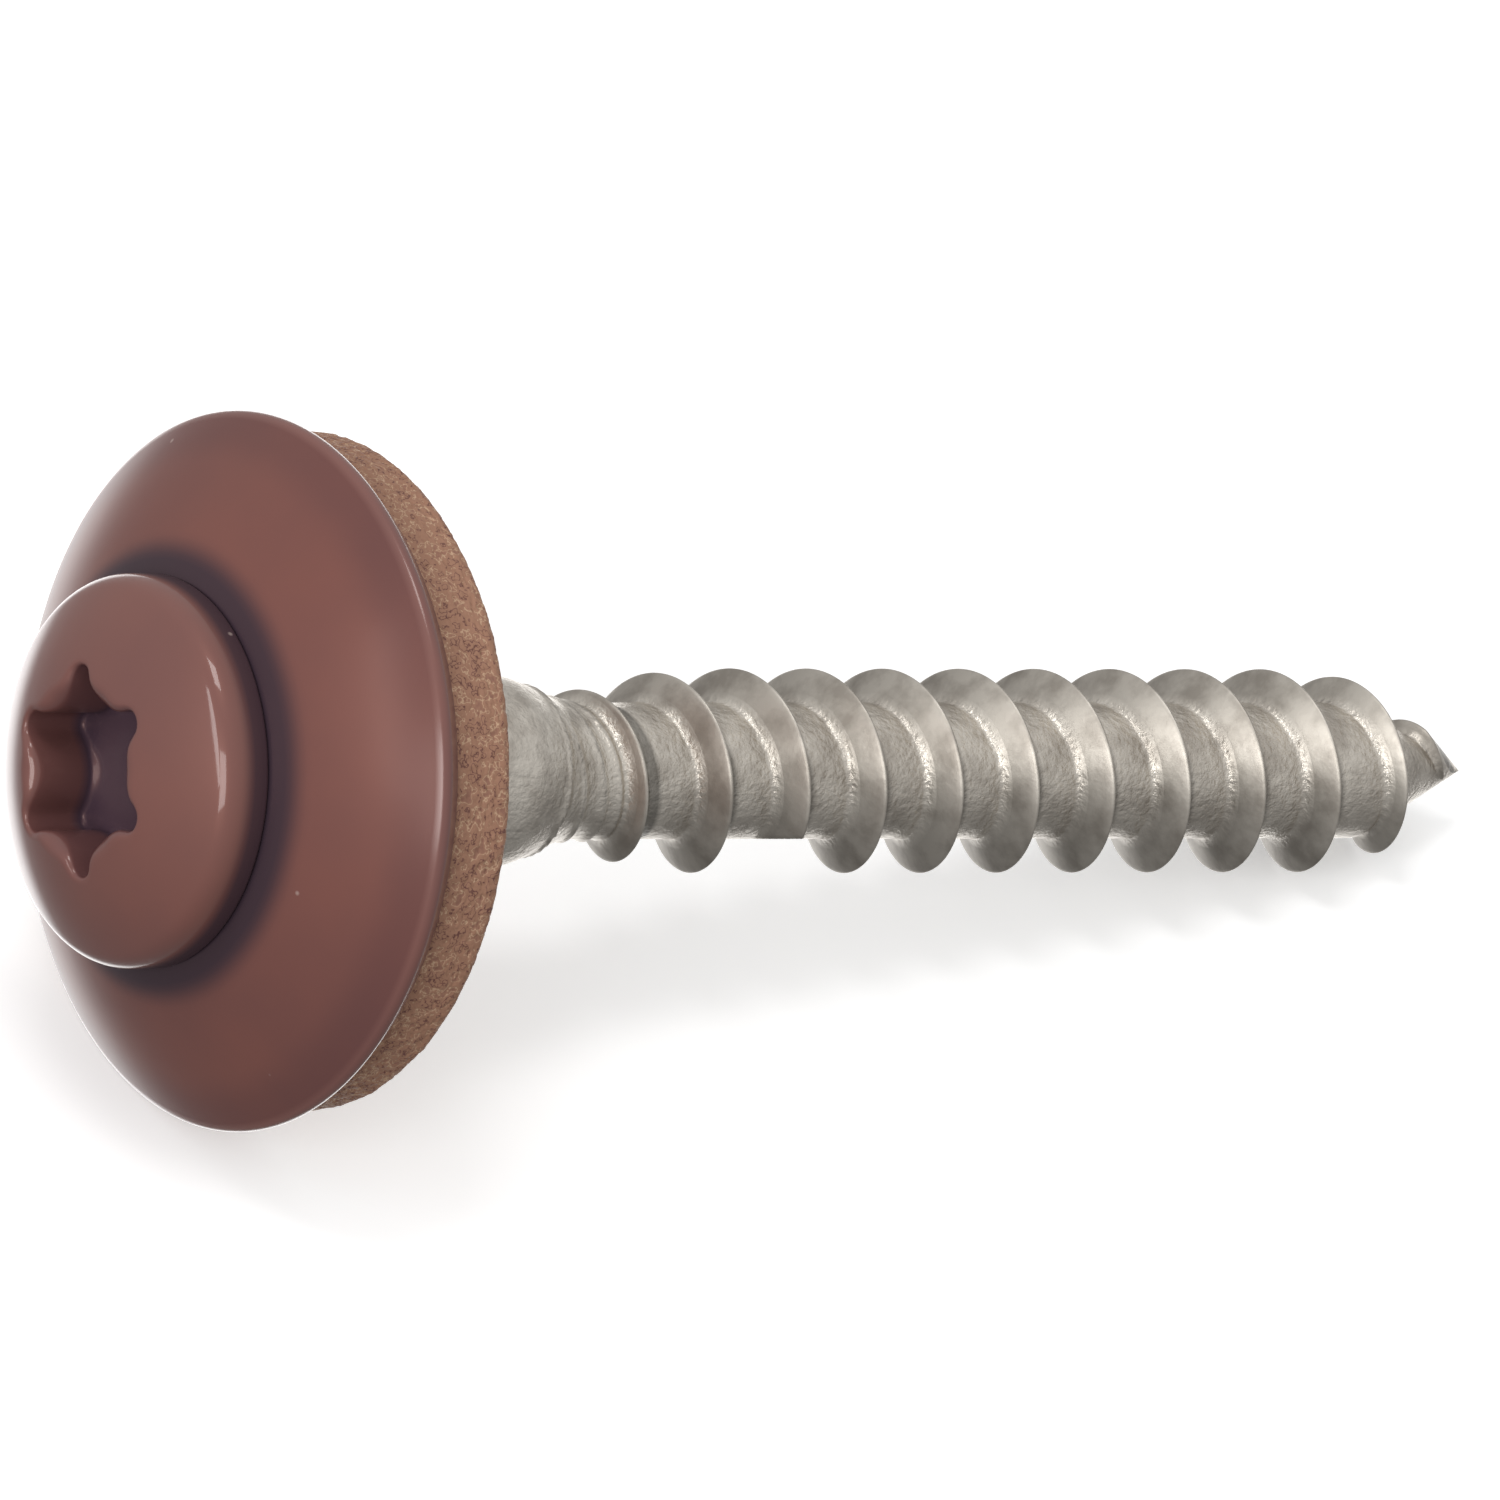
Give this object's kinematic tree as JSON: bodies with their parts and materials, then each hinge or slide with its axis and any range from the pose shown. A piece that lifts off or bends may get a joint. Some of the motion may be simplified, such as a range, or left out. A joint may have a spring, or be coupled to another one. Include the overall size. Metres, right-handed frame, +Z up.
{
  "type": "tinsmith screw",
  "caption": "Wood screw with a painted six-lobe pan head, a domed steel washer with a bonded rubber seal, a smooth neck, a coarse right-hand thread and a sharp point.",
  "frame": {"origin": "centre of the footprint at the bottom, on the surface the screw lies on", "axes": "+X along the screw from the head towards the point, which slopes down; +Z up; the screw lies on one flat of the rubber seal's cut edge and on a thread crest near the point"},
  "size_m": [0.0359, 0.015, 0.0148],
  "materials": {
    "stainless_steel": "bare rolled stainless shank, reddish-brown painted head",
    "painted_sheet": "glossy reddish-brown paint",
    "seal_rubber": "rough cut edge with brown overspray"
  },
  "bodies": {
    "screw": {"screw": "stainless_steel"},
    "washer": {"dome_washer": "painted_sheet", "rubber_seal": "seal_rubber"}
  },
  "joints": [
    {"name": "washer_turn", "type": "hinge", "parent": "screw", "child": "washer", "pos_m": [-0.01563, 0, 0.00782], "axis": [0.9818, 0, -0.1899], "continuous": true}
  ]
}
